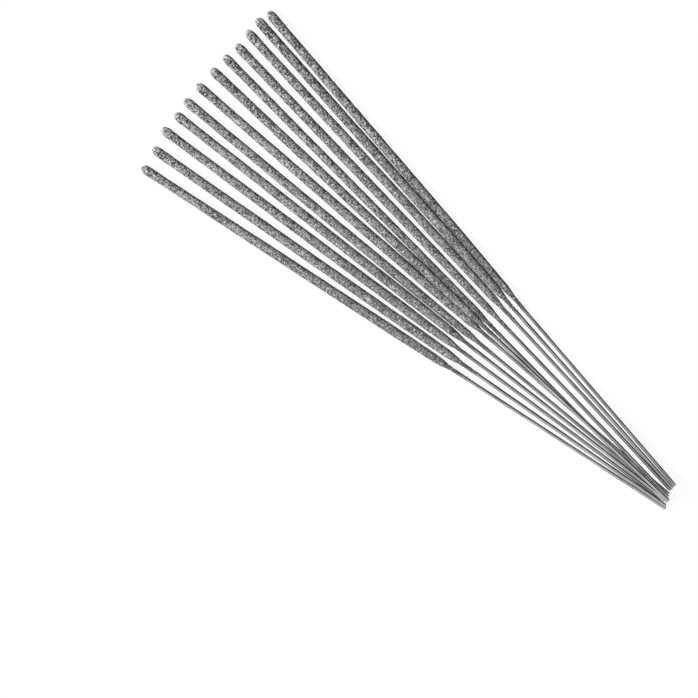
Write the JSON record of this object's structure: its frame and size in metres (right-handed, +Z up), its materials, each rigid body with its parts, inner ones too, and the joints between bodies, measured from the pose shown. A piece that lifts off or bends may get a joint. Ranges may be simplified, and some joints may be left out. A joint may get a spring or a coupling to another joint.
{
  "type": "sparkler set",
  "caption": "Hand-held wire sparklers laid out in an open fan: grey dipped spark coats on bare bright steel wire handles gathered at one end.",
  "frame": {"origin": "on the surface the fan lies on, under the middle of its bounding box", "axes": "+Y along the fan from the gathered wire ends to the tips, +Z up, +X across the fan towards the last sparkler"},
  "size_m": [0.0564, 0.1718, 0.0074],
  "materials": {
    "bright_drawn_steel": "bright drawn, fine lengthwise die lines",
    "spark_composition": "dry granular dipped coat with metal flecks"
  },
  "bodies": {
    "sparkler_01": {"handle_wire_01": "bright_drawn_steel", "spark_coat_01": "spark_composition"},
    "sparkler_02": {"handle_wire_02": "bright_drawn_steel", "spark_coat_02": "spark_composition"},
    "sparkler_03": {"handle_wire_03": "bright_drawn_steel", "spark_coat_03": "spark_composition"},
    "sparkler_04": {"handle_wire_04": "bright_drawn_steel", "spark_coat_04": "spark_composition"},
    "sparkler_05": {"handle_wire_05": "bright_drawn_steel", "spark_coat_05": "spark_composition"},
    "sparkler_06": {"handle_wire_06": "bright_drawn_steel", "spark_coat_06": "spark_composition"},
    "sparkler_07": {"handle_wire_07": "bright_drawn_steel", "spark_coat_07": "spark_composition"},
    "sparkler_08": {"handle_wire_08": "bright_drawn_steel", "spark_coat_08": "spark_composition"},
    "sparkler_09": {"handle_wire_09": "bright_drawn_steel", "spark_coat_09": "spark_composition"},
    "sparkler_10": {"handle_wire_10": "bright_drawn_steel", "spark_coat_10": "spark_composition"},
    "sparkler_11": {"handle_wire_11": "bright_drawn_steel", "spark_coat_11": "spark_composition"},
    "sparkler_12": {"handle_wire_12": "bright_drawn_steel", "spark_coat_12": "spark_composition"}
  },
  "joints": [
    {"name": "draw_out_01", "type": "slide", "parent": "sparkler_06", "child": "sparkler_01", "axis": [-0.1464, 0.9892, 0], "range_m": [0, 0.175]},
    {"name": "draw_out_02", "type": "slide", "parent": "sparkler_06", "child": "sparkler_02", "axis": [-0.1155, 0.9933, 0], "range_m": [0, 0.175]},
    {"name": "draw_out_03", "type": "slide", "parent": "sparkler_06", "child": "sparkler_03", "axis": [-0.0856, 0.9963, 0], "range_m": [0, 0.175]},
    {"name": "lift_off_04", "type": "slide", "parent": "sparkler_06", "child": "sparkler_04", "axis": [0, 0, 1], "range_m": [0, 0.05]},
    {"name": "draw_out_05", "type": "slide", "parent": "sparkler_06", "child": "sparkler_05", "axis": [-0.0338, 0.9994, 0], "range_m": [0, 0.175]},
    {"name": "lift_off_07", "type": "slide", "parent": "sparkler_06", "child": "sparkler_07", "axis": [0, 0, 1], "range_m": [0, 0.05]},
    {"name": "draw_out_08", "type": "slide", "parent": "sparkler_06", "child": "sparkler_08", "axis": [0.0676, 0.9977, 0], "range_m": [0, 0.175]},
    {"name": "draw_out_09", "type": "slide", "parent": "sparkler_06", "child": "sparkler_09", "axis": [0.0842, 0.9964, 0], "range_m": [0, 0.175]},
    {"name": "draw_out_10", "type": "slide", "parent": "sparkler_06", "child": "sparkler_10", "axis": [0.1012, 0.9949, 0], "range_m": [0, 0.175]},
    {"name": "lift_off_11", "type": "slide", "parent": "sparkler_06", "child": "sparkler_11", "axis": [0, 0, 1], "range_m": [0, 0.05]},
    {"name": "draw_out_12", "type": "slide", "parent": "sparkler_06", "child": "sparkler_12", "axis": [0.1363, 0.9907, 0], "range_m": [0, 0.175]}
  ]
}
